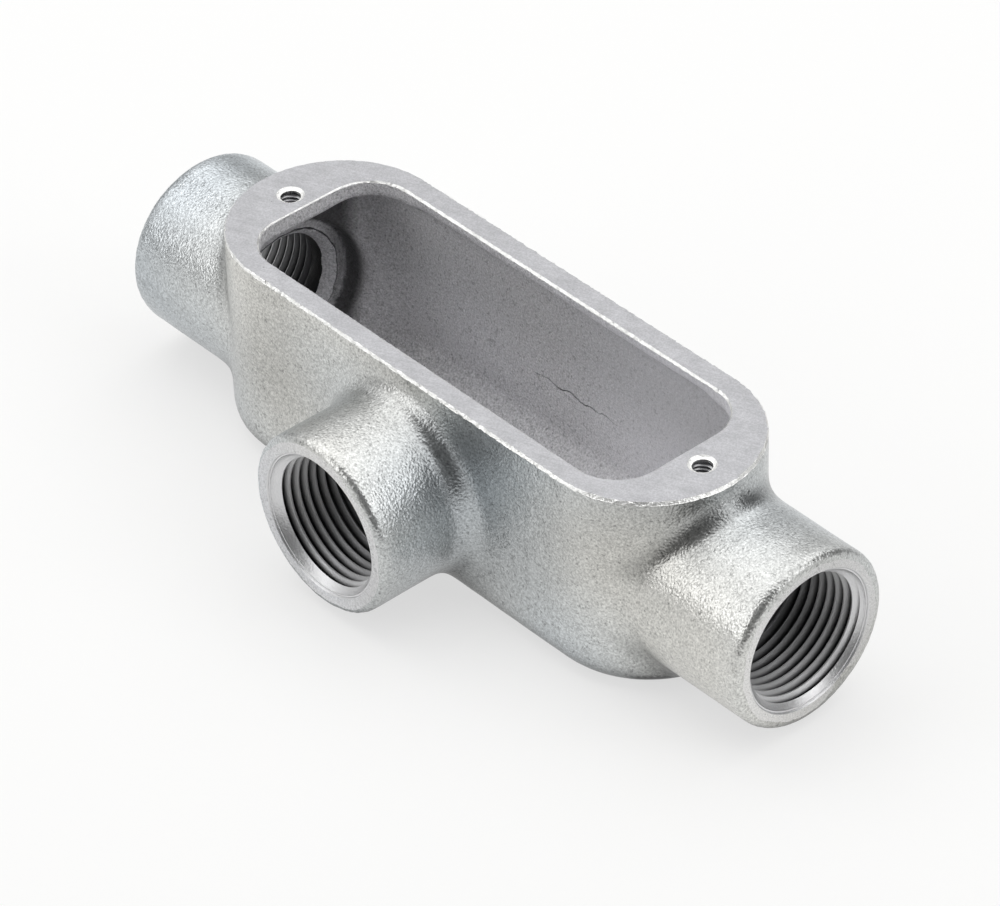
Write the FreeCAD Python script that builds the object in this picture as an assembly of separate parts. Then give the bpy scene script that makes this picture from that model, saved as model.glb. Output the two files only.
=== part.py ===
import FreeCAD, Part
import os
from FreeCAD import Vector

# T-shaped conduit body, one casting with three tapped hubs and an open cover face.
# Millimetres. The origin lies on the flat back, under the crossing of run and branch:
# X follows the run, the branch points to -Y and the cover face looks to +Z.

# Body
coverLength = 117.8        # cover face, over its two round ends
coverWidth = 39.7
wall = 3.2                 # cast wall of the chamber and its floor
backRounding = 5.0         # outer edge all round the back
floorChamfer = 4.2         # inner edge all round the chamber floor

# Hubs
runLength = 155.0          # over the faces of the two run hubs
branchReach = 39.0         # run axis to the face of the branch hub
axisDrop = 22.0            # cover face down to the hub axes
hubDiameter = 33.5
hubClearance = 1.25        # hub skin to the plane of the flat back
hubWall = 2.5              # cast wall where a run hub turns into the chamber
rimChamfer = 0.8
rootRounding = 4.5

# Tapped bores, 3/4 inch taper pipe thread, 14 turns to the inch
threadMajor = 26.6         # across the mouth chamfer
threadMinor = 23.4         # bore under the thread crests
threadDepth = 16.5
throatDiameter = 20.4      # smooth bushing that the wires pass
collarDiameter = 26.4      # bushing collar that stands into the chamber
collarLength = 3.2
collarChamfer = 1.0
throatFlare = 1.8          # chamfer where the throat opens into the chamber

# Opening, its lip and the two cover screws
openingLength = 95.0
openingWidth = 30.4
openingCorner = 8.2
lipDepth = 2.2             # lip along the two sides
shelfDepth = 3.5           # thicker lip around each end
screwSpacing = 103.8
screwMinor = 3.45          # tapped 8-32
screwMouth = 4.5           # across the countersink
screwDepth = 7.6
bossWidth = 12.0

# Worked out from the sizes above
hubRadius = hubDiameter / 2
axisHeight = hubRadius + hubClearance
coverHeight = axisHeight + axisDrop
roundRadius = coverWidth / 2
roundCentre = coverLength / 2 - roundRadius
rootRadius = min(rootRounding, 0.9 * (axisDrop - hubRadius))
chamberRadius = roundRadius - wall
chamberTop = coverHeight - lipDepth
shelfBottom = coverHeight - shelfDepth
pocketRadius = hubRadius - hubWall
pocketEnd = roundCentre + roundRadius - wall / 2
collarEnd = pocketEnd - collarLength
right = Vector(1, 0, 0)
left = Vector(-1, 0, 0)
front = Vector(0, -1, 0)
hubs = [(right, runLength / 2), (left, runLength / 2), (front, branchReach)]


# Outline with two straight sides and two half circles, pushed up from one height to another
def obround(centre, radius, bottom, top):
    a, b = Vector(-centre, -radius, bottom), Vector(centre, -radius, bottom)
    c, d = Vector(centre, radius, bottom), Vector(-centre, radius, bottom)
    rightEnd = Part.Arc(b, Vector(centre + radius, 0, bottom), c)
    leftEnd = Part.Arc(d, Vector(-centre - radius, 0, bottom), a)
    outline = Part.Wire([Part.makeLine(a, b), rightEnd.toShape(), Part.makeLine(c, d), leftEnd.toShape()])
    return Part.Face(outline).extrude(Vector(0, 0, top - bottom))


# Rectangle with round corners, pushed up from one height to another
def roundedBlock(length, width, corner, bottom, top):
    block = Part.makeBox(length, width, top - bottom, Vector(-length / 2, -width / 2, bottom))
    return block.makeFillet(corner, pick(block, lambda edge, middle: abs(edge.tangentAt(0).z) > 0.9))


# Profile in the XZ plane, given for the right end, made symmetric about Y and put at either end
def endBlock(direction, profile, width):
    corners = [Vector(x * direction.x, -width / 2, z) for x, z in profile]
    return Part.Face(Part.makePolygon(corners + corners[:1])).extrude(Vector(0, width, 0))


# Cylinder around a hub axis, from one distance off the centre to another
def onAxis(direction, radius, start, end):
    return Part.makeCylinder(radius, end - start, axisPoint(direction, start), direction)


def coneOnAxis(direction, innerRadius, outerRadius, start, end):
    return Part.makeCone(innerRadius, outerRadius, end - start, axisPoint(direction, start), direction)


def axisPoint(direction, distance):
    return Vector(0, 0, axisHeight) + direction * distance


# Edges of a shape that pass a test on the edge and its middle point
def pick(shape, test):
    chosen = []
    for edge in shape.Edges:
        middle = edge.valueAt((edge.FirstParameter + edge.LastParameter) / 2)
        if test(edge, middle):
            chosen.append(edge)
    return chosen


# Round edges that lie in the plane across a hub axis at one distance
def pickRim(shape, direction, distance):
    return pick(shape, lambda edge, middle: abs(middle.dot(direction) - distance) < 0.01
                and len(edge.Vertexes) == 1)


# Whether an edge crosses a cylinder around a hub axis between two distances
def crossesCylinder(edge, middle, direction, radius, start, end):
    along = middle.dot(direction)
    offAxis = (middle - axisPoint(direction, along)).Length
    runsAlong = abs(edge.tangentAt(edge.FirstParameter).dot(direction)) > 0.999
    return abs(offAxis - radius) < 0.02 and start < along < end and not runsAlong


# Outer cast skin: obround body, three round hubs and the roundings where they meet
def makeBlank():
    blank = obround(roundCentre, roundRadius, 0, coverHeight)
    blank = blank.makeFillet(backRounding, pick(blank, lambda edge, middle: abs(middle.z) < 0.01))
    for direction, reach in hubs:
        hub = onAxis(direction, hubRadius, 0, reach)
        blank = blank.fuse(hub.makeChamfer(rimChamfer, pickRim(hub, direction, reach)))
    blank = blank.removeSplitter()
    roots = pick(blank, lambda edge, middle: any(
        crossesCylinder(edge, middle, direction, hubRadius, 0.5 * roundRadius, reach - 2 * rimChamfer)
        for direction, reach in hubs))
    return blank.makeFillet(rootRadius, roots)


# Hollow that the core leaves: the room, a pocket behind each run collar and the opening
def makeCore():
    room = obround(roundCentre, chamberRadius, wall, chamberTop)
    room = room.makeChamfer(floorChamfer, pick(room, lambda edge, middle: abs(middle.z - wall) < 0.01))
    for direction in (right, left):
        room = room.cut(endBlock(direction, shelfProfile(), coverWidth))
        room = room.fuse(onAxis(direction, pocketRadius, roundCentre / 2, pocketEnd))
    for direction in (right, left):
        room = room.cut(makeCollar(direction))
        room = room.cut(endBlock(direction, bossProfile(), bossWidth))
    opening = roundedBlock(openingLength, openingWidth, openingCorner, axisHeight, coverHeight + 1)
    return room.fuse(opening).removeSplitter()


# The side lip grows into the thicker shelf over a short ramp
def shelfProfile():
    shelfStart = openingLength / 2 - openingCorner
    farEnd = roundCentre + roundRadius
    rampStart = shelfStart - 3 * (shelfDepth - lipDepth)
    return [(rampStart, chamberTop), (shelfStart, shelfBottom), (farEnd, shelfBottom), (farEnd, chamberTop)]


# Boss for a cover screw: it leans back from the edge of the opening to the collar
def bossProfile():
    near = openingLength / 2 + 0.3
    collarTop = axisHeight + collarDiameter / 2
    return [(near, coverHeight), (near, shelfBottom), (collarEnd + collarChamfer, collarTop - collarChamfer),
            (pocketEnd + 1, collarTop - collarChamfer), (pocketEnd + 1, coverHeight)]


# Bushing collar at the end of a run hub, still without its throat
def makeCollar(direction):
    collar = onAxis(direction, collarDiameter / 2, collarEnd, pocketEnd + 1)
    return collar.makeChamfer(collarChamfer, pickRim(collar, direction, collarEnd))


# Mouth chamfer, thread bore and smooth throat of one hub, with the flare at its inner end
def makeBore(direction, reach, throatEnd):
    chamfer = (threadMajor - threadMinor) / 2
    bore = onAxis(direction, threadMinor / 2, reach - threadDepth, reach + 1)
    mouth = coneOnAxis(direction, threadMinor / 2, threadMajor / 2, reach - chamfer, reach)
    throat = onAxis(direction, throatDiameter / 2, throatEnd, reach - threadDepth + 1)
    flare = coneOnAxis(direction, throatDiameter / 2 + throatFlare, throatDiameter / 2,
                       throatEnd, throatEnd + throatFlare)
    return bore.fuse([mouth, throat, flare])


# Tapped hole for a cover screw with its small countersink
def makeScrewHole(direction):
    centre = direction * (screwSpacing / 2)
    sink = (screwMouth - screwMinor) / 2
    hole = Part.makeCylinder(screwMinor / 2, screwDepth + 1, centre + Vector(0, 0, coverHeight - screwDepth))
    mouth = Part.makeCone(screwMinor / 2, screwMouth / 2, sink, centre + Vector(0, 0, coverHeight - sink))
    return hole.fuse(mouth)


def makeCasting():
    casting = makeBlank().cut(makeCore())
    for direction, reach in hubs:
        throatEnd = chamberRadius if direction == front else collarEnd
        casting = casting.cut(makeBore(direction, reach, throatEnd))
    for direction in (right, left):
        casting = casting.cut(makeScrewHole(direction))
    return casting.removeSplitter()


casting = makeCasting()
os.makedirs("parts", exist_ok=True)
casting.exportStep("parts/body_casting.step")
print("solids", len(casting.Solids), "valid", casting.isValid(), "volume cm3", round(casting.Volume / 1000, 2))
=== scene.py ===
import math

import bmesh
import bpy
from mathutils import Matrix, Vector, noise


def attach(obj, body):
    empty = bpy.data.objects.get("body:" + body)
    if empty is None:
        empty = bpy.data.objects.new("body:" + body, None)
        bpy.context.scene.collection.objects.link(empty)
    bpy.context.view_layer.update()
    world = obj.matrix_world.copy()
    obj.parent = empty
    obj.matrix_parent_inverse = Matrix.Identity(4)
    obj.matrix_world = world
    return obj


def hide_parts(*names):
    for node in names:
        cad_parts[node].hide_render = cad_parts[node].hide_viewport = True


# Malleable iron conduit body as it leaves the plating shop: sand cast skin, milled cover
# face, tapped hubs and screw holes, all under one coat of zinc. Lengths here are in
# millimetres and are turned to metres when the mesh is finished.

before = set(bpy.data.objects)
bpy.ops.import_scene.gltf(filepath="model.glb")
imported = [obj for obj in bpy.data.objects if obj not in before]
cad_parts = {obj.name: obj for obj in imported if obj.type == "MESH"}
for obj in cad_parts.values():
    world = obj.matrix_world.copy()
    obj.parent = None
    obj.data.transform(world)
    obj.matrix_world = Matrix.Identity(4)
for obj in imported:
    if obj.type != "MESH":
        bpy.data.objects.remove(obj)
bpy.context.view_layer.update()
scene = bpy.context.scene
mm = 0.001
noise.seed_set(7)     # without it the noise vectors start from the clock


def newObject(name, bm):
    mesh = bpy.data.meshes.new(name)
    bm.to_mesh(mesh)
    bm.free()
    obj = bpy.data.objects.new(name, mesh)
    scene.collection.objects.link(obj)
    return obj


def applyModifier(obj, kind, **settings):
    modifier = obj.modifiers.new(kind.title(), kind)
    for key, value in settings.items():
        setattr(modifier, key, value)
    with bpy.context.temp_override(object=obj, active_object=obj, selected_objects=[obj]):
        bpy.ops.object.modifier_apply(modifier=modifier.name)


# cuts a tool out of a piece; the new faces keep the tool's material slot
def cutWith(piece, tool):
    applyModifier(piece, "BOOLEAN", object=tool, operation="DIFFERENCE", solver="MANIFOLD")
    print("cut", tool.name, "leaves", len(piece.data.polygons), "faces")
    mesh = tool.data
    bpy.data.objects.remove(tool)
    bpy.data.meshes.remove(mesh)


# turns a profile of (radius, height) about the Z axis, with both ends on the axis
def spinProfile(profile, steps):
    bm = bmesh.new()
    points = [bm.verts.new((radius, 0, height)) for radius, height in profile]
    edges = [bm.edges.new(pair) for pair in zip(points, points[1:])]
    bmesh.ops.spin(bm, geom=points + edges, cent=(0, 0, 0), axis=(0, 0, 1),
                   angle=2 * math.pi, steps=steps, use_merge=True)
    bmesh.ops.remove_doubles(bm, verts=bm.verts, dist=1e-4)
    bmesh.ops.recalc_face_normals(bm, faces=bm.faces)
    return bm


casting = {
    "voxel": 0.78,                # grid of the cast skin
    "smoothing": 3,
    "stock": 2.0,                 # cast on over the cover face, before it is milled
    "facing": (140, 60),          # length and width that the milling cutter sweeps
    "swell": [(16.0, 0.10), (4.5, 0.06), (2.2, 0.03)],   # wave length and depth of the uneven skin
    "coverHeight": 40.0,
    "coverLine": (19.85, 39.05),  # radius of its round ends, half length of its straight sides
    "roomRadius": 18.3,           # the skin inside this line and over this height is the chamber's
    "roomFloor": 1.6,
    "pocketEnd": 57.9,            # and so is the hollow behind a bushing collar
    "pocketRadius": 15.2,
    "axisHeight": 18.0,
    "hubRadius": 16.75,
    "branchZone": 20.0,           # the branch bore lies this near to the middle
    "plugRadii": [(12.6, 4.0), (14.0, None)],            # iron that still fills a bore
    "plugDepth": 3.0,
    "plugSteps": 160,
    "hubs": {"right": ((1, 0, 0), 77.5, 54.1), "left": ((-1, 0, 0), 77.5, 54.1),
             "front": ((0, -1, 0), 39.0, 16.65)},        # direction, face, inner end of the throat
    "sharpAngle": 38,             # edges that bend more than this stay sharp
}
slots = {"skin": 0, "chamber": 1, "milled": 2, "bored": 3, "burr": 4, "screw": 5, "rim": 6}


# places a tool, made along Z with its mouth at the origin, at the face of a hub
def hubPlace(direction, reach):
    axis = Vector(direction)
    turn = Vector((0, 0, 1)).rotation_difference(axis).to_matrix().to_4x4()
    return Matrix.Translation(axis * reach + Vector((0, 0, casting["axisHeight"]))) @ turn


# the casting before any machining: higher at the cover face, and its bores not yet drilled
def castBlank():
    bm = bmesh.new()
    bm.from_mesh(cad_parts["body_casting"].data)
    bmesh.ops.scale(bm, vec=(1 / mm,) * 3, verts=bm.verts)
    bmesh.ops.remove_doubles(bm, verts=bm.verts, dist=0.002)
    top = [v for v in bm.verts if v.co.z > casting["coverHeight"] - 0.01]
    bmesh.ops.translate(bm, verts=top, vec=(0, 0, casting["stock"]))
    for direction, reach, throatEnd in casting["hubs"].values():
        for radius, inset in casting["plugRadii"]:
            start = throatEnd + inset if inset else reach - casting["plugDepth"]
            bmesh.ops.create_cone(bm, cap_ends=True, segments=casting["plugSteps"], radius1=radius,
                                  radius2=radius, depth=reach - start,
                                  matrix=hubPlace(direction, (start + reach) / 2))
    return newObject("casting", bm)


def roughenSkin(blank):
    applyModifier(blank, "REMESH", mode="VOXEL", voxel_size=casting["voxel"], use_smooth_shade=True)
    bm = bmesh.new()
    bm.from_mesh(blank.data)
    for _ in range(casting["smoothing"]):
        bmesh.ops.smooth_vert(bm, verts=bm.verts, factor=0.5,
                              use_axis_x=True, use_axis_y=True, use_axis_z=True)
    bm.normal_update()
    for vert in bm.verts:
        depth = 0.0
        for wave, height in casting["swell"]:
            depth += height * (0.5 + 0.5 * noise.noise(vert.co / wave))
        vert.co -= vert.normal * depth
    bm.to_mesh(blank.data)
    bm.free()
    print("cast skin has", len(blank.data.polygons), "faces")


# faces of the raw casting that lie in the chamber or in the pocket behind a bushing collar
def sortSkin(blank):
    halfLength = casting["coverLine"][1]
    for face in blank.data.polygons:
        x, y, z = face.center
        offLine = math.hypot(max(abs(x) - halfLength, 0), y)
        offAxis = math.hypot(y, z - casting["axisHeight"])
        inRoom = offLine < casting["roomRadius"] and z > casting["roomFloor"]
        if inRoom or (abs(x) < casting["pocketEnd"] and offAxis < casting["pocketRadius"]):
            face.material_index = slots["chamber"]


hubThread = {
    "pitch": 25.4 / 14,     # 3/4 inch taper pipe thread
    "mouthRadius": 12.98,   # tool radius at the face, over the thread tips
    "height": 1.18,         # depth of one groove
    "tipFlat": 0.22,
    "rootFlat": 0.16,
    "taper": 1 / 32,        # on the radius
    "depth": 17.0,
    "fade": 3.0,            # length over which the last turns run out
    "lead": 1.7,            # and over which the first ones come in
    "steps": 84,
    "recessRadius": 13.4,   # plain turned band before the first turn
    "recessDepth": 0.85,
    # its rounded mouth, as (out from the band, height over the face)
    "mouth": [(1, 1), (0.3, 0), (0, -0.25), (-0.08, -0.5), (-0.3, -0.54)],
    "shoulder": 0.9,        # from the thread to the throat
    "throatRadius": 10.2,
    "flare": 1.8,
    "overrun": 2,           # of the cutter into the chamber
    "boreSteps": 128,
    "faced": 0.14,          # cut off the end of the hub; low spots of the skin stay
    "facerRadius": 18,
    "facerSteps": 96,
}
screwThread = {
    "pitch": 25.4 / 32,     # 8-32
    "mouthRadius": 2.08,
    "height": 0.42,
    "tipFlat": 0.1,
    "rootFlat": 0.1,
    "taper": 0.0,
    "depth": 7.4,
    "fade": 0.8,
    "lead": 0.9,
    "steps": 36,
    "spacing": 103.8,
    # countersink and tap drill, as (radius, height over the face)
    "sink": [(0, 1), (2.48, 1), (2.48, 0), (1.95, -0.42), (0, -0.5)],
    "drill": [(0, 1), (1.7, 1), (1.7, -7.6), (0, -8.2)],
    "drillSteps": 48,
}
# a threaded plug is wound longer than its bore, in pitches below and above, and cut square;
# where its thread fades, it ends this far under the crest line, and nowhere lower than its core
plugEnds = {"spareTurns": 4, "below": 1.3, "above": 2, "sunk": 0.15, "core": 0.9}


# threaded plug along -Z: one pitch of the groove is screwed round the axis, cut square at
# both ends and closed; its large end stands two turns out of the mouth
def makeTap(thread):
    pitch, tip = thread["pitch"], thread["mouthRadius"]
    root = tip - thread["height"]
    turns = math.ceil(thread["depth"] / pitch) + plugEnds["spareTurns"]
    bottom = -thread["depth"] - plugEnds["below"] * pitch
    slope = (pitch - thread["tipFlat"] - thread["rootFlat"]) / 2
    profile = [(root, 0), (root, thread["rootFlat"]), (tip, thread["rootFlat"] + slope),
               (tip, pitch - slope), (root, pitch)]
    bm = bmesh.new()
    points = [bm.verts.new((radius, 0, bottom + height)) for radius, height in profile]
    edges = [bm.edges.new(pair) for pair in zip(points, points[1:])]
    bmesh.ops.spin(bm, geom=points + edges, cent=(0, 0, 0), axis=(0, 0, 1),
                   dvec=(0, 0, pitch / thread["steps"]), angle=2 * math.pi * turns,
                   steps=thread["steps"] * turns, use_merge=False)
    bmesh.ops.remove_doubles(bm, verts=bm.verts, dist=0.01)
    for vert in bm.verts:
        radius = math.hypot(vert.co.x, vert.co.y)
        wanted = radius + vert.co.z * thread["taper"]
        ends = min((vert.co.z + thread["depth"]) / thread["fade"], -vert.co.z / thread["lead"])
        limit = root - plugEnds["sunk"] + thread["height"] * ends
        wanted = min(wanted, max(limit, root - plugEnds["core"]))
        vert.co.x *= wanted / radius
        vert.co.y *= wanted / radius
    for height, side in ((-thread["depth"], -1), (plugEnds["above"] * pitch, 1)):
        cut = bmesh.ops.bisect_plane(bm, geom=bm.verts[:] + bm.edges[:] + bm.faces[:], dist=1e-5,
                                     plane_co=(0, 0, height), plane_no=(0, 0, side), clear_outer=True)
        rim = [part for part in cut["geom_cut"] if isinstance(part, bmesh.types.BMEdge)]
        bmesh.ops.contextual_create(bm, geom=rim)
    bmesh.ops.recalc_face_normals(bm, faces=bm.faces)
    return bm


# everything that chamfering and boring takes off at one hub, as one turned tool
def makeHubCutter(throatLength):
    t = hubThread
    tip, crest = t["mouthRadius"], t["mouthRadius"] - t["height"]
    firstTurn = t["recessDepth"] + tip - crest
    flareRadius, innerEnd = t["throatRadius"] + t["flare"], -throatLength - t["overrun"]
    profile = [(0, 1)] + [(t["recessRadius"] + out, height) for out, height in t["mouth"]]
    profile += [(tip, -t["recessDepth"]), (crest, -firstTurn), (crest - t["depth"] * t["taper"], -t["depth"]),
                (t["throatRadius"], -t["depth"] - t["shoulder"]),
                (t["throatRadius"], t["flare"] - throatLength),
                (flareRadius, -throatLength), (flareRadius, innerEnd), (0, innerEnd)]
    return spinProfile(profile, t["boreSteps"])


coverEdges = {
    # section of the material taken off, as (out from the edge, height over the face, raggedness)
    "outer": [(-0.38, 1, 0.2), (-0.38, 0, 0.2), (-0.18, -0.2, 0.26), (-0.03, -0.46, 0.2), (0.3, -0.66, 0),
              (1.5, -0.7, 0), (1.5, 1, 0)],
    "inner": [(0.5, 1, 0.12), (0.5, 0, 0.12), (0.08, -0.4, 0.12), (-0.1, -0.8, 0), (-1.5, -0.8, 0),
              (-1.5, 1, 0)],
    # corner radius, half length and half width of its straight sides
    "outerLine": (*casting["coverLine"], 0),
    "innerLine": (8.2, 39.12, 7.0),
    "roundSteps": 160,
    "longSide": 30,                     # straight sides over this length get more points
    "sideCuts": 200,
    "drift": (-0.2, 0.1, 0),            # the outer burr is widest on the near side and at the right end
    "wave": 0.55,                       # length over which the edge wanders
}


# closed line that follows the cover face or the opening, a set distance out, at one height
def edgeLine(bm, line, out, height, ragged):
    radius, halfLength, halfWidth = line
    old = set(bm.edges)
    steps = coverEdges["roundSteps"]
    ring = bmesh.ops.create_circle(bm, segments=steps, radius=radius + out,
                                   matrix=Matrix.Rotation(math.pi / steps, 4, "Z"))
    for vert in ring["verts"]:
        vert.co.x += math.copysign(halfLength, vert.co.x)
        vert.co.y += math.copysign(halfWidth, vert.co.y)
        vert.co.z = casting["coverHeight"] + height
    sides = [e for e in bm.edges if e not in old and e.calc_length() > coverEdges["longSide"]]
    bmesh.ops.subdivide_edges(bm, edges=sides, cuts=coverEdges["sideCuts"])
    edges = [e for e in bm.edges if e not in old]
    for vert in {v for e in edges for v in e.verts}:
        vert.co += ragged * noise.noise_vector(vert.co / coverEdges["wave"])
    return edges


# ring-shaped tool with one section that runs right round such a line
def makeEdgeTool(section, line):
    bm = bmesh.new()
    loops = [edgeLine(bm, line, *corner) for corner in section]
    for first, second in zip(loops, loops[1:] + loops[:1]):
        bmesh.ops.bridge_loops(bm, edges=first + second)
    bmesh.ops.recalc_face_normals(bm, faces=bm.faces)
    return bm


# short crack along the far wall of the chamber, where the two halves of the core met
coreSeam = {
    "start": -8.2, "end": 13.5, "steps": 60, "height": 17.25,
    "wall": 16.5, "before": 0.8, "depth": 1.0,      # the wall's inner face; the tool starts before it
    "opening": 0.2, "least": 0.03, "grit": 0.9,     # width, and the size of its uneven spots
    "wander": 0.7, "wave": 3.0, "jitter": 0.2,      # slow and quick drift up and down
}


def makeSeamTool():
    s = coreSeam
    bm = bmesh.new()
    corners = [bm.verts.new((s["start"], s["wall"] + inward, side))
               for inward, side in ((-s["before"], -1), (s["depth"], 0), (-s["before"], 1))]
    section = bm.faces.new(corners)
    bmesh.ops.spin(bm, geom=corners + section.edges[:] + [section], cent=(0, 0, 0), axis=(1, 0, 0), angle=0,
                   dvec=((s["end"] - s["start"]) / s["steps"], 0, 0), steps=s["steps"])
    bmesh.ops.holes_fill(bm, edges=bm.edges)
    for vert in bm.verts:
        share = (vert.co.x - s["start"]) / (s["end"] - s["start"])
        width = s["opening"] * (0.5 + math.sin(math.pi * share)) * (1 + noise.noise(vert.co / s["grit"]))
        drift = s["wander"] * noise.noise((vert.co.x / s["wave"], 0, 0))
        drift += s["jitter"] * noise.noise((vert.co.x, 5, 0))
        vert.co.z = s["height"] + drift + vert.co.z * max(width, s["least"])
    bmesh.ops.recalc_face_normals(bm, faces=bm.faces)
    return bm


# rough line round the end of a bushing collar, between its flare and its outer edge
bushingLine = {"radius": 12.0, "halfWidth": 0.7, "depth": 1.05, "wander": 0.3, "wave": 1.6, "steps": 160}


def makeBushingTool(throatLength):
    b = bushingLine
    bm = bmesh.new()
    points = [bm.verts.new((b["radius"] + side * b["halfWidth"], 0, height - throatLength))
              for side, height in ((-1, -1), (0, b["depth"]), (1, -1))]
    edges = [bm.edges.new(pair) for pair in zip(points, points[1:] + points[:1])]
    bmesh.ops.spin(bm, geom=points + edges, cent=(0, 0, 0), axis=(0, 0, 1),
                   angle=2 * math.pi, steps=b["steps"], use_merge=True)
    for vert in bm.verts:
        vert.co += b["wander"] * noise.noise_vector(vert.co / b["wave"])
    bmesh.ops.recalc_face_normals(bm, faces=bm.faces)
    return bm


def toolObject(name, bm, slot, place=Matrix.Identity(4)):
    bm.transform(place)
    for face in bm.faces:
        face.material_index = slots[slot]
    return newObject(name, bm)


def millCover(blank):
    stock, (length, width) = casting["stock"], casting["facing"]
    facing = bmesh.new()
    bmesh.ops.create_cube(facing, size=1, matrix=Matrix.Translation((0, 0, casting["coverHeight"] + stock))
                          @ Matrix.Diagonal((length, width, 2 * stock, 1)))
    cutWith(blank, toolObject("facing", facing, "milled"))
    outer = makeEdgeTool(coverEdges["outer"], coverEdges["outerLine"])
    cutWith(blank, toolObject("outerEdge", outer, "burr", Matrix.Translation(coverEdges["drift"])))
    inner = makeEdgeTool(coverEdges["inner"], coverEdges["innerLine"])
    cutWith(blank, toolObject("innerEdge", inner, "burr"))


def boreHubs(blank):
    t = hubThread
    facer = [(0, 1), (t["facerRadius"], 1), (t["facerRadius"], -t["faced"]), (0, -t["faced"])]
    for name, (direction, reach, throatEnd) in casting["hubs"].items():
        tools = [("facer", spinProfile(facer, t["facerSteps"]), "rim"),
                 ("cutter", makeHubCutter(reach - throatEnd), "bored"), ("tap", makeTap(t), "bored")]
        if name != "front":
            tools.append(("collarLine", makeBushingTool(reach - throatEnd), "chamber"))
        for kind, tool, slot in tools:
            label = kind + " of the " + name + " hub"
            cutWith(blank, toolObject(label, tool, slot, hubPlace(direction, reach)))


def tapScrewHoles(blank):
    t = screwThread
    for side in (-1, 1):
        place = Matrix.Translation((side * t["spacing"] / 2, 0, casting["coverHeight"]))
        for kind, tool, slot in (("screw sink", spinProfile(t["sink"], t["drillSteps"]), "burr"),
                                 ("screw drill", spinProfile(t["drill"], t["drillSteps"]), "screw"),
                                 ("screw tap", makeTap(t), "screw")):
            cutWith(blank, toolObject(kind, tool, slot, place))


# painted light and shade on the zinc, with the tint and grain of its coat, as shares of its usual shade; each
# From pair gives the two places between which a shade comes in
coatAndPaintedLight = {
    # painted shade in the roots of the hubs
    "root": 0.68,               # where a hub meets the body, above and below the axis
    "rootGap": (3.4, 0.5),      # from the middle of the rounding
    "rootReach": (4.6, 3.6),    # out from the wall and the hub
    "rootRise": (4, 9),         # up or down from the hub's axis
    "branchRoot": (4, 9),       # only to the right of the branch hub
    # painted shade behind a bushing collar
    "pocket": 0.16,             # behind a bushing collar
    "pocketFrom": (49, 52),     # along the run
    "collarFrom": (13.3, 13.9), # and off its axis
    # painted light low on the chamber wall, painted shade high on it, and painted light on the side of the
    # opening
    "low": 1.08, "high": 0.76,  # lower and upper part of the chamber wall
    "highFrom": (13, 31),
    "lip": 1.04,                # side of the opening
    "lipFrom": (36.9, 37.3),
    "calmEnd": 0.45,            # share of the grain that is left at the right end of the chamber
    "calmFrom": (-5, 32),
    "patch": 30.0,              # size of the warm and the cool patches
    "patchStart": (150, 287, 166), "patchMean": 0.53, "patchDepth": 0.95,
    # clouds that are partly an uneven coat and partly painted light and shade
    "cloud": 24.0,              # size of the darker and the lighter clouds
    "cloudStart": (259, 36, 369), "cloudDepth": 0.3,
    "branchBox": (30, 19),      # the branch hub's skin: nearer to the middle, and further to the front
    "skinDepth": 0.6,           # how far under the cover line a point is still on the outside
}


def ramp(value, low, high):
    share = min(max((value - low) / (high - low), 0), 1)
    return share * share * (3 - 2 * share)


# painted shade in the hub roots, times clouds that are partly uneven coat and partly painted light and shade
def outsideCloudsAndPaintedShade(place, wall, hub, rise):
    root = (ramp(abs(wall - hub), *coatAndPaintedLight["rootGap"]) * ramp(max(wall, hub), *coatAndPaintedLight["rootReach"])
            * ramp(abs(rise), *coatAndPaintedLight["rootRise"]))
    if abs(place.x) < coatAndPaintedLight["branchBox"][0]:
        root *= ramp(place.x, *coatAndPaintedLight["branchRoot"])
    cloud = coatAndPaintedLight["cloudDepth"] * noise.noise(place / coatAndPaintedLight["cloud"] + Vector(coatAndPaintedLight["cloudStart"]))
    return (1 + cloud) * (1 - root * (1 - coatAndPaintedLight["root"]))


# painted light low in the chamber and on the side of the opening, painted shade high on its wall and behind a
# collar
def chamberPaintedLightAndShade(place, offAxis):
    behind = ramp(abs(place.x), *coatAndPaintedLight["pocketFrom"]) * ramp(offAxis, *coatAndPaintedLight["collarFrom"])
    shade = coatAndPaintedLight["low"] + ramp(place.z, *coatAndPaintedLight["highFrom"]) * (coatAndPaintedLight["high"] - coatAndPaintedLight["low"])
    shade += ramp(place.z, *coatAndPaintedLight["lipFrom"]) * (coatAndPaintedLight["lip"] - coatAndPaintedLight["high"])
    return shade * (1 - behind * (1 - coatAndPaintedLight["pocket"]))


# painted light and shade of the zinc, coarseness of its grain and coolness of its tint at a point
def coatAndPaintedLightAt(place):
    x, y, z = place
    patch = noise.noise(place / coatAndPaintedLight["patch"] + Vector(coatAndPaintedLight["patchStart"]))
    cool = min(max(coatAndPaintedLight["patchMean"] + coatAndPaintedLight["patchDepth"] * patch, 0), 1)
    roundRadius, halfLength = casting["coverLine"]
    halfBranch, branchFront = coatAndPaintedLight["branchBox"]
    rise = z - casting["axisHeight"]
    offAxis = math.hypot(y, rise)
    wall = math.hypot(max(abs(x) - halfLength, 0), y) - roundRadius
    onBranch = y < -branchFront and abs(x) < halfBranch
    hub = (math.hypot(x, rise) if onBranch else offAxis) - casting["hubRadius"]
    if wall > -coatAndPaintedLight["skinDepth"] and (abs(x) > casting["pocketEnd"] or offAxis > casting["pocketRadius"]):
        return outsideCloudsAndPaintedShade(place, wall, hub, rise), 1, cool
    return chamberPaintedLightAndShade(place, offAxis), 1 - ramp(x, *coatAndPaintedLight["calmFrom"]) * (1 - coatAndPaintedLight["calmEnd"]), cool


# painted shade: the throat is as dark as a groove, and the end of the collar as light as the bore's mouth is
# at this depth
boreMarks = {"throatFrom": 0.8, "throatTo": 0.1, "collarFrom": 0.3, "collarDepth": 5}
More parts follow.
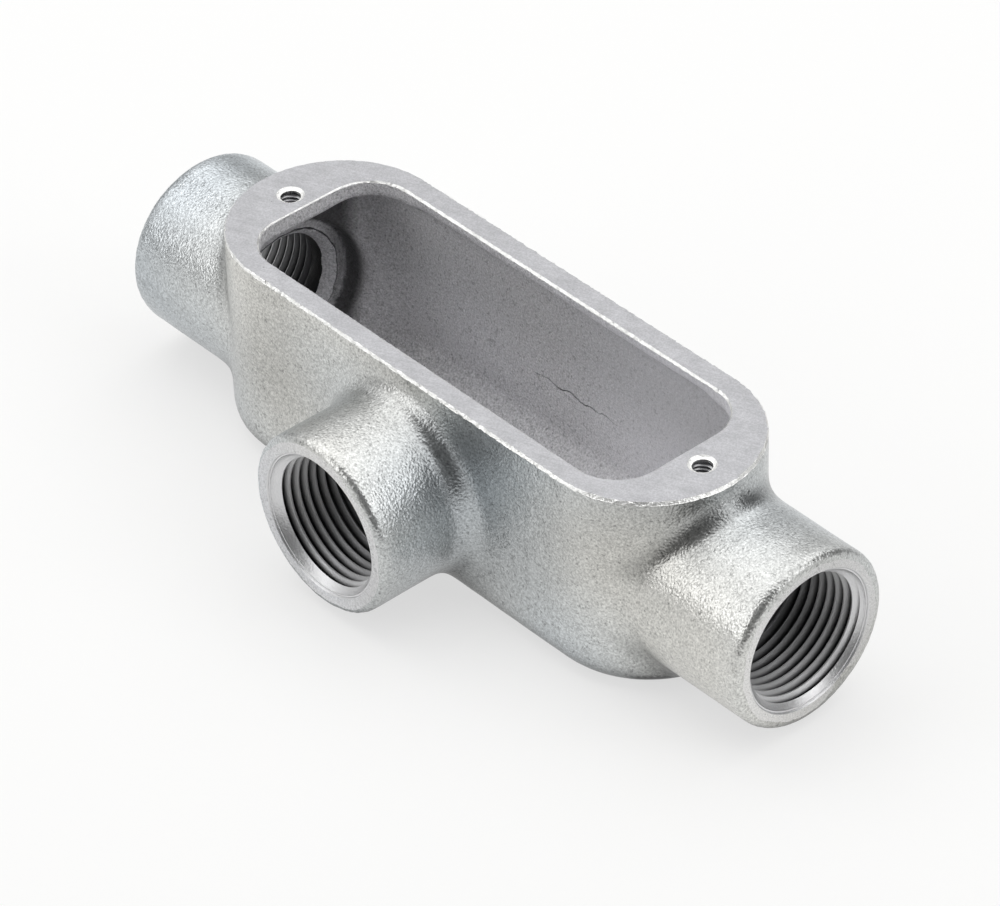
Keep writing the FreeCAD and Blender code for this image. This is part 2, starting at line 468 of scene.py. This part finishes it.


# writes on each point how far it lies down its groove and how far inside the hub, which set the painted shade
# of the bores, and its coat with its painted light and shade
def markPoints(piece):
    names = ("groove", "inward", "shade", "coarse", "cool")
    for name in names:
        piece.data.attributes.new(name, "FLOAT", "POINT")
    marks = {name: piece.data.attributes[name].data for name in names}
    t = hubThread
    for number, vert in enumerate(piece.data.vertices):
        for name, value in zip(("shade", "coarse", "cool"), coatAndPaintedLightAt(vert.co)):
            marks[name][number].value = value
        x, y, z = vert.co
        z -= casting["axisHeight"]
        if abs(x) < casting["branchZone"]:
            reach, throatEnd = casting["hubs"]["front"][1:]
            depth, radius = reach + y, math.hypot(x, z)
        else:
            reach, throatEnd = casting["hubs"]["right"][1:]
            depth, radius = reach - abs(x), math.hypot(y, z)
        crest = t["mouthRadius"] - t["height"] - depth * t["taper"]
        land = max(crest, t["mouthRadius"] + t["recessDepth"] - depth)
        down = (radius - land) / t["height"]
        throatLength = reach - throatEnd
        if t["depth"] + boreMarks["throatFrom"] < depth < throatLength - t["flare"] + boreMarks["throatTo"]:
            down = 1
        if depth > throatLength - boreMarks["collarFrom"]:
            depth, down = boreMarks["collarDepth"], 0
        marks["groove"][number].value = min(max(down, 0), 1)
        marks["inward"][number].value = min(max(depth / t["depth"], 0), 1)


def hexColour(text):
    channels = [int(text[i:i + 2], 16) / 255 for i in (1, 3, 5)]
    return [c / 12.92 if c <= 0.04045 else ((c + 0.055) / 1.055) ** 2.4 for c in channels] + [1]


# adds a node, gives it its settings and values, and links it to the nodes before it
def addNode(tree, kind, settings=None, values=None, links=None):
    node = tree.nodes.new("ShaderNode" + kind)
    for key, value in (settings or {}).items():
        setattr(node, key, value)
    for key, value in (values or {}).items():
        node.inputs[key].default_value = value
    for key, source in (links or {}).items():
        tree.links.new(source, node.inputs[key])
    return node


def newMaterial(name):
    material = bpy.data.materials.new(name)
    material.use_nodes = True
    material.node_tree.nodes.clear()
    return material


# sand cast iron, peened and bright zinc plated: a skin of fine rounded grains that glitters
# where it faces a lamp, warm on its flanks and cool above
skinFinish = {
    "warm": "#e9e8e3", "cool": "#e0e6ea",
    "grain": 0.4, "grainDepth": 0.068, "lump": 1.8, "lumpDepth": 0.10,
    "speck": 0.4, "speckShade": 0.42, "pepper": 0.75, "pepperShade": 0.62, "pepperRange": (0.35, 0.41),
    "paintedShadeReach": 12.0, "paintedCornerShade": 0.2, "roughness": 0.33, "metal": 0.9,
}
# inside, the current reaches badly: the coat is thin, dull and mid grey, with painted shade darkening its
# corners
chamberFinish = {
    "warm": "#f9f8fa", "cool": "#f7f7fb",
    "grain": 0.5, "grainDepth": 0.15, "lump": 1.7, "lumpDepth": 0.42,
    "speck": 0.38, "speckShade": 0.4, "pepper": 0.9, "pepperShade": 0.65, "pepperRange": (0.35, 0.41),
    "paintedShadeReach": 8.0, "paintedCornerShade": 0.3, "roughness": 0.6, "metal": 0.1,
}
# ends of the hubs, faced off just enough to take the high spots away
rimFinish = {
    "warm": "#efeeec", "cool": "#ecedf0",
    "grain": 0.35, "grainDepth": 0.015, "lump": 1.6, "lumpDepth": 0.04,
    "speck": 0.3, "speckShade": 0.6, "pepper": 1.2, "pepperShade": 0.82, "pepperRange": (0.34, 0.4),
    "paintedShadeReach": 3.0, "paintedCornerShade": 0.6, "roughness": 0.5, "metal": 0.7,
}
# the same for all three; the last pair is how open a spot is where the painted corner shade is darkest and
# where it ends
skinPattern = {"detail": 3, "roughness": 0.7, "speckRange": (0.28, 0.72), "grainBlend": 0.8,
               "lumpDetail": 2, "lumpRoughness": 0.6, "openRange": (0.3, 0.82)}


def zincSkin(name, finish):
    material = newMaterial(name)
    tree = material.node_tree
    place = addNode(tree, "TexCoord").outputs["Object"]
    cool, coarse, paintedLightAndShade = [addNode(tree, "Attribute", {"attribute_name": mark}).outputs["Fac"]
                               for mark in ("cool", "coarse", "shade")]
    tint = addNode(tree, "Mix", {"data_type": "RGBA"},
                   {6: hexColour(finish["warm"]), 7: hexColour(finish["cool"])}, {0: cool})
    # the colour starts from the painted light and shade written on the points
    # fine specks and sparse dots, both fainter where the grain is calm
    dark = paintedLightAndShade
    for size, (low, high), least in ((finish["speck"], skinPattern["speckRange"], finish["speckShade"]),
                                     (finish["pepper"], finish["pepperRange"], finish["pepperShade"])):
        spots = addNode(tree, "TexNoise", values={"Scale": 1 / (size * mm), "Detail": skinPattern["detail"],
                                                  "Roughness": skinPattern["roughness"]},
                        links={"Vector": place})
        faint = addNode(tree, "Math", {"operation": "MULTIPLY_ADD"}, {1: least - 1, 2: 1}, {0: coarse})
        shade = addNode(tree, "MapRange", values={"From Min": low, "From Max": high},
                        links={"Value": spots.outputs[0], "To Min": faint.outputs[0]})
        both = addNode(tree, "Math", {"operation": "MULTIPLY"}, links={0: dark, 1: shade.outputs[0]})
        dark = both.outputs[0]
    # painted shade in corners, creases and near the floor: darker where ambient occlusion finds the surface
    # shut in
    openness = addNode(tree, "AmbientOcclusion", {"samples": 6}, {"Distance": finish["paintedShadeReach"] * mm})
    shut, clear = skinPattern["openRange"]
    corner = addNode(tree, "MapRange", values={"From Min": shut, "From Max": clear,
                                               "To Min": finish["paintedCornerShade"]},
                     links={"Value": openness.outputs["AO"]})
    dark = addNode(tree, "Math", {"operation": "MULTIPLY"}, links={0: dark, 1: corner.outputs[0]})
    tone = addNode(tree, "Mix", {"data_type": "RGBA", "blend_type": "MULTIPLY"}, {0: 1},
                   {6: tint.outputs[2], 7: dark.outputs[0]})
    grain = addNode(tree, "TexVoronoi", {"feature": "SMOOTH_F1"},
                    {"Scale": 1 / (finish["grain"] * mm), "Smoothness": skinPattern["grainBlend"]},
                    {"Vector": place})
    lump = addNode(tree, "TexNoise", values={"Scale": 1 / (finish["lump"] * mm),
                                             "Detail": skinPattern["lumpDetail"],
                                             "Roughness": skinPattern["lumpRoughness"]},
                   links={"Vector": place})
    grains = addNode(tree, "Bump", {"invert": True}, {"Distance": finish["grainDepth"] * mm},
                     {"Height": grain.outputs["Distance"], "Strength": coarse})
    relief = addNode(tree, "Bump", values={"Distance": finish["lumpDepth"] * mm},
                     links={"Height": lump.outputs[0], "Normal": grains.outputs[0], "Strength": coarse})
    shader = addNode(tree, "BsdfPrincipled",
                     values={"Metallic": finish["metal"], "Roughness": finish["roughness"]},
                     links={"Base Color": tone.outputs[2], "Normal": relief.outputs[0]})
    addNode(tree, "OutputMaterial", links={"Surface": shader.outputs[0]})
    return material


# turned and tapped iron under zinc: bright at the mouth, with painted shade greying it inward and darkening
# it down the grooves
boreFinish = {
    "mouth": "#dededf", "deep": "#515153", "groove": "#161618", "deepFrom": 0.12, "grooveFrom": 0.3,
    "grain": 0.35, "grainDepth": 0.08, "roughness": 0.4,
    "shine": (0.9, 0.2), "shineRange": (0.1, 0.25),      # metallic at the mouth and inside
}


def zincBore(name, finish):
    material = newMaterial(name)
    tree = material.node_tree
    place = addNode(tree, "TexCoord").outputs["Object"]
    inward, groove = [addNode(tree, "Attribute", {"attribute_name": mark}).outputs["Fac"]
                      for mark in ("inward", "groove")]
    # painted shade: greyer inward, dark down the grooves
    far = addNode(tree, "MapRange", values={"From Min": finish["deepFrom"]}, links={"Value": inward})
    down = addNode(tree, "MapRange", {"interpolation_type": "SMOOTHSTEP"}, {"From Min": finish["grooveFrom"]},
                   {"Value": groove})
    wall = addNode(tree, "Mix", {"data_type": "RGBA"},
                   {6: hexColour(finish["mouth"]), 7: hexColour(finish["deep"])}, {0: far.outputs[0]})
    tone = addNode(tree, "Mix", {"data_type": "RGBA"}, {7: hexColour(finish["groove"])},
                   {0: down.outputs[0], 6: wall.outputs[2]})
    grain = addNode(tree, "TexNoise", values={"Scale": 1 / (finish["grain"] * mm), "Detail": 2},
                    links={"Vector": place})
    bump = addNode(tree, "Bump", values={"Strength": 1, "Distance": finish["grainDepth"] * mm},
                   links={"Height": grain.outputs[0]})
    (bright, dull), (start, end) = finish["shine"], finish["shineRange"]
    shine = addNode(tree, "MapRange", values={"From Min": start, "From Max": end,
                                              "To Min": bright, "To Max": dull}, links={"Value": inward})
    shader = addNode(tree, "BsdfPrincipled", values={"Roughness": finish["roughness"]},
                     links={"Base Color": tone.outputs[2], "Metallic": shine.outputs[0],
                            "Normal": bump.outputs[0]})
    addNode(tree, "OutputMaterial", links={"Surface": shader.outputs[0]})
    return material


# milled iron under zinc: an even light grey with cloudy spots, faint cutter streaks and nicks
milledFinish = {
    "light": "#cccccf", "roughness": 0.5,
    "streak": (14.0, 0.5), "streakTurn": 24, "streakDepth": 0.012,     # length and width, angle to the run
    "streakRange": (0.35, 0.6), "streakShade": 0.92,
    # size, detail and roughness of each other pattern, its range and its darkest shade
    "cloud": (4.0, 4, 0.6, (0.35, 0.65), 0.88),
    "speck": (0.3, 1, 0.5, (0.35, 0.65), 0.84),
    "nick": (1.1, 2, 0.7, (0.23, 0.27), 0.6),
}


def zincMilled(name, finish):
    material = newMaterial(name)
    tree = material.node_tree
    place = addNode(tree, "TexCoord").outputs["Object"]
    along, across = finish["streak"]
    turned = addNode(tree, "Mapping", {"vector_type": "TEXTURE"},
                     {"Rotation": (0, 0, math.radians(finish["streakTurn"])),
                      "Scale": (along * mm, across * mm, 1)}, {"Vector": place})
    streak = addNode(tree, "TexNoise", values={"Scale": 1, "Detail": 3, "Roughness": 0.6},
                     links={"Vector": turned.outputs[0]})
    low, high = finish["streakRange"]
    dark = addNode(tree, "MapRange",
                   values={"From Min": low, "From Max": high, "To Min": finish["streakShade"]},
                   links={"Value": streak.outputs[0]})
    for size, detail, roughness, (low, high), least in (finish["cloud"], finish["speck"], finish["nick"]):
        pattern = addNode(tree, "TexNoise", values={"Scale": 1 / (size * mm), "Detail": detail,
                                                    "Roughness": roughness}, links={"Vector": place})
        shade = addNode(tree, "MapRange", values={"From Min": low, "From Max": high, "To Min": least},
                        links={"Value": pattern.outputs[0]})
        dark = addNode(tree, "Math", {"operation": "MULTIPLY"},
                       links={0: dark.outputs[0], 1: shade.outputs[0]})
    tone = addNode(tree, "Mix", {"data_type": "RGBA", "blend_type": "MULTIPLY"},
                   {0: 1, 6: hexColour(finish["light"])}, {7: dark.outputs[0]})
    bump = addNode(tree, "Bump", values={"Strength": 1, "Distance": finish["streakDepth"] * mm},
                   links={"Height": streak.outputs[0]})
    shader = addNode(tree, "BsdfPrincipled", values={"Metallic": 1, "Roughness": finish["roughness"]},
                     links={"Base Color": tone.outputs[2], "Normal": bump.outputs[0]})
    addNode(tree, "OutputMaterial", links={"Surface": shader.outputs[0]})
    return material


# broken edges, countersinks and screw threads: zinc builds up there and shines, and the near white tone of
# the broken edges and countersinks is also a painted highlight
edgeFinishes = {
    "burr": {"name": "zincOnBrokenEdgeWithPaintedHighlight", "tone": "#f6f6f4", "roughness": 0.36, "metal": 0.8,
             "ripple": 0.4, "rippleDepth": 0.16},
    "screw": {"name": "zincOnScrewThread", "tone": "#b4b4b6", "roughness": 0.32, "metal": 1,
              "ripple": 0.3, "rippleDepth": 0.01},
}


def zincEdge(finish):
    material = newMaterial(finish["name"])
    tree = material.node_tree
    place = addNode(tree, "TexCoord").outputs["Object"]
    ripple = addNode(tree, "TexNoise", values={"Scale": 1 / (finish["ripple"] * mm), "Detail": 2},
                     links={"Vector": place})
    bump = addNode(tree, "Bump", values={"Strength": 1, "Distance": finish["rippleDepth"] * mm},
                   links={"Height": ripple.outputs[0]})
    shader = addNode(tree, "BsdfPrincipled",
                     values={"Base Color": hexColour(finish["tone"]), "Metallic": finish["metal"],
                             "Roughness": finish["roughness"]}, links={"Normal": bump.outputs[0]})
    addNode(tree, "OutputMaterial", links={"Surface": shader.outputs[0]})
    return material


def makeCasting():
    blank = castBlank()
    roughenSkin(blank)
    # in the order of the slots
    for material in (zincSkin("zincOnCastSkin", skinFinish), zincSkin("zincInChamber", chamberFinish),
                     zincMilled("zincOnMilledFace", milledFinish), zincBore("zincInTappedBore", boreFinish),
                     zincEdge(edgeFinishes["burr"]), zincEdge(edgeFinishes["screw"]),
                     zincSkin("zincOnHubFace", rimFinish)):
        blank.data.materials.append(material)
    sortSkin(blank)
    millCover(blank)
    cutWith(blank, toolObject("coreSeam", makeSeamTool(), "chamber"))
    boreHubs(blank)
    tapScrewHoles(blank)
    markPoints(blank)
    blank.data.transform(Matrix.Scale(mm, 4))
    for face in blank.data.polygons:
        face.use_smooth = True
    blank.data.set_sharp_from_angle(angle=math.radians(casting["sharpAngle"]))
    for face in blank.data.polygons:
        face.use_smooth = face.material_index not in (slots["milled"], slots["rim"])
    blank.name = "zincCasting"
    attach(blank, "root")
    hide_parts("body_casting")
    print("casting has", len(blank.data.polygons), "faces")


# azimuth from the front towards the right; distances and offsets in millimetres
view = {"lens": 196.78, "azimuth": 49.054, "elevation": 38.115, "roll": -1.453,
        "distance": 918.37, "aside": 1.755, "up": -21.537, "target": (0, 0, 40),
        "sensor": 36, "farEnd": 10}      # the far end in metres


def placeCamera():
    azimuth, elevation, roll = (math.radians(view[k]) for k in ("azimuth", "elevation", "roll"))
    back = Vector((math.sin(azimuth) * math.cos(elevation), -math.cos(azimuth) * math.cos(elevation),
                   math.sin(elevation)))
    right = Vector((math.cos(azimuth), math.sin(azimuth), 0))
    up = back.cross(right)
    right, up = right * math.cos(roll) + up * math.sin(roll), up * math.cos(roll) - right * math.sin(roll)
    place = Vector(view["target"]) + back * view["distance"] + right * view["aside"] + up * view["up"]
    camera = bpy.data.objects.new("camera", bpy.data.cameras.new("camera"))
    scene.collection.objects.link(camera)
    camera.data.lens = view["lens"]
    camera.data.sensor_width = view["sensor"]
    camera.data.clip_end = view["farEnd"]
    matrix = Matrix((right, up, back)).transposed().to_4x4()
    matrix.translation = place * mm
    camera.matrix_world = matrix
    scene.camera = camera
    print("camera placed")


# sizes in metres
studio = {"floor": "#f4f4f2", "floorSize": 6, "floorGlow": 0.65, "world": 0.11,
          "lampSize": 0.9, "lampDistance": 1.3, "lampAim": 0.02,
          # azimuth from the front towards the right, elevation, power in watts
          "lamps": [(0, 88, 2.6), (110, 25, 3.5), (120, 55, 3.0), (180, 55, 3.1), (200, 25, 1.8),
                    (240, 55, 2.8), (245, 25, 1.3), (290, 25, 1.5), (300, 55, 3.3), (335, 25, 4.0)]}


# pale paper that also shows in reflections and keeps the shadow
def makeFloor():
    bm = bmesh.new()
    bmesh.ops.create_grid(bm, x_segments=1, y_segments=1, size=studio["floorSize"] / 2)
    floor = newObject("floor", bm)
    material = newMaterial("paperSweep")
    tree = material.node_tree
    path = addNode(tree, "LightPath")
    seen = addNode(tree, "Math", {"operation": "MAXIMUM"}, links={0: path.outputs["Is Camera Ray"],
                                                                 1: path.outputs["Is Glossy Ray"]})
    seen = addNode(tree, "Math", {"operation": "MAXIMUM"}, links={0: seen.outputs[0],
                                                                 1: path.outputs["Is Transmission Ray"]})
    share = addNode(tree, "Math", {"operation": "MULTIPLY"}, {1: studio["floorGlow"]}, {0: seen.outputs[0]})
    paper = addNode(tree, "BsdfDiffuse", values={"Color": hexColour(studio["floor"])})
    glow = addNode(tree, "Emission", values={"Color": (1, 1, 1, 1), "Strength": 1})
    mixed = addNode(tree, "MixShader", links={0: share.outputs[0], 1: paper.outputs[0], 2: glow.outputs[0]})
    addNode(tree, "OutputMaterial", links={"Surface": mixed.outputs[0]})
    floor.data.materials.append(material)


def makeLights():
    world = bpy.data.worlds.new("world")
    world.use_nodes = True
    world.node_tree.nodes["Background"].inputs[0].default_value = (1, 1, 1, 1)
    world.node_tree.nodes["Background"].inputs[1].default_value = studio["world"]
    scene.world = world
    for number, (azimuth, elevation, power) in enumerate(studio["lamps"]):
        lamp = bpy.data.lights.new("softbox" + str(number), "AREA")
        lamp.shape, lamp.size, lamp.energy = "DISK", studio["lampSize"], power
        holder = bpy.data.objects.new(lamp.name, lamp)
        scene.collection.objects.link(holder)
        turn, rise = math.radians(azimuth), math.radians(elevation)
        away = Vector((math.sin(turn) * math.cos(rise), -math.cos(turn) * math.cos(rise), math.sin(rise)))
        holder.location = away * studio["lampDistance"] + Vector((0, 0, studio["lampAim"]))
        holder.rotation_euler = away.to_track_quat("Z", "Y").to_euler()
    print("floor and", len(studio["lamps"]), "lamps placed")


makeCasting()
placeCamera()
makeFloor()
makeLights()
scene.view_settings.view_transform = "Standard"
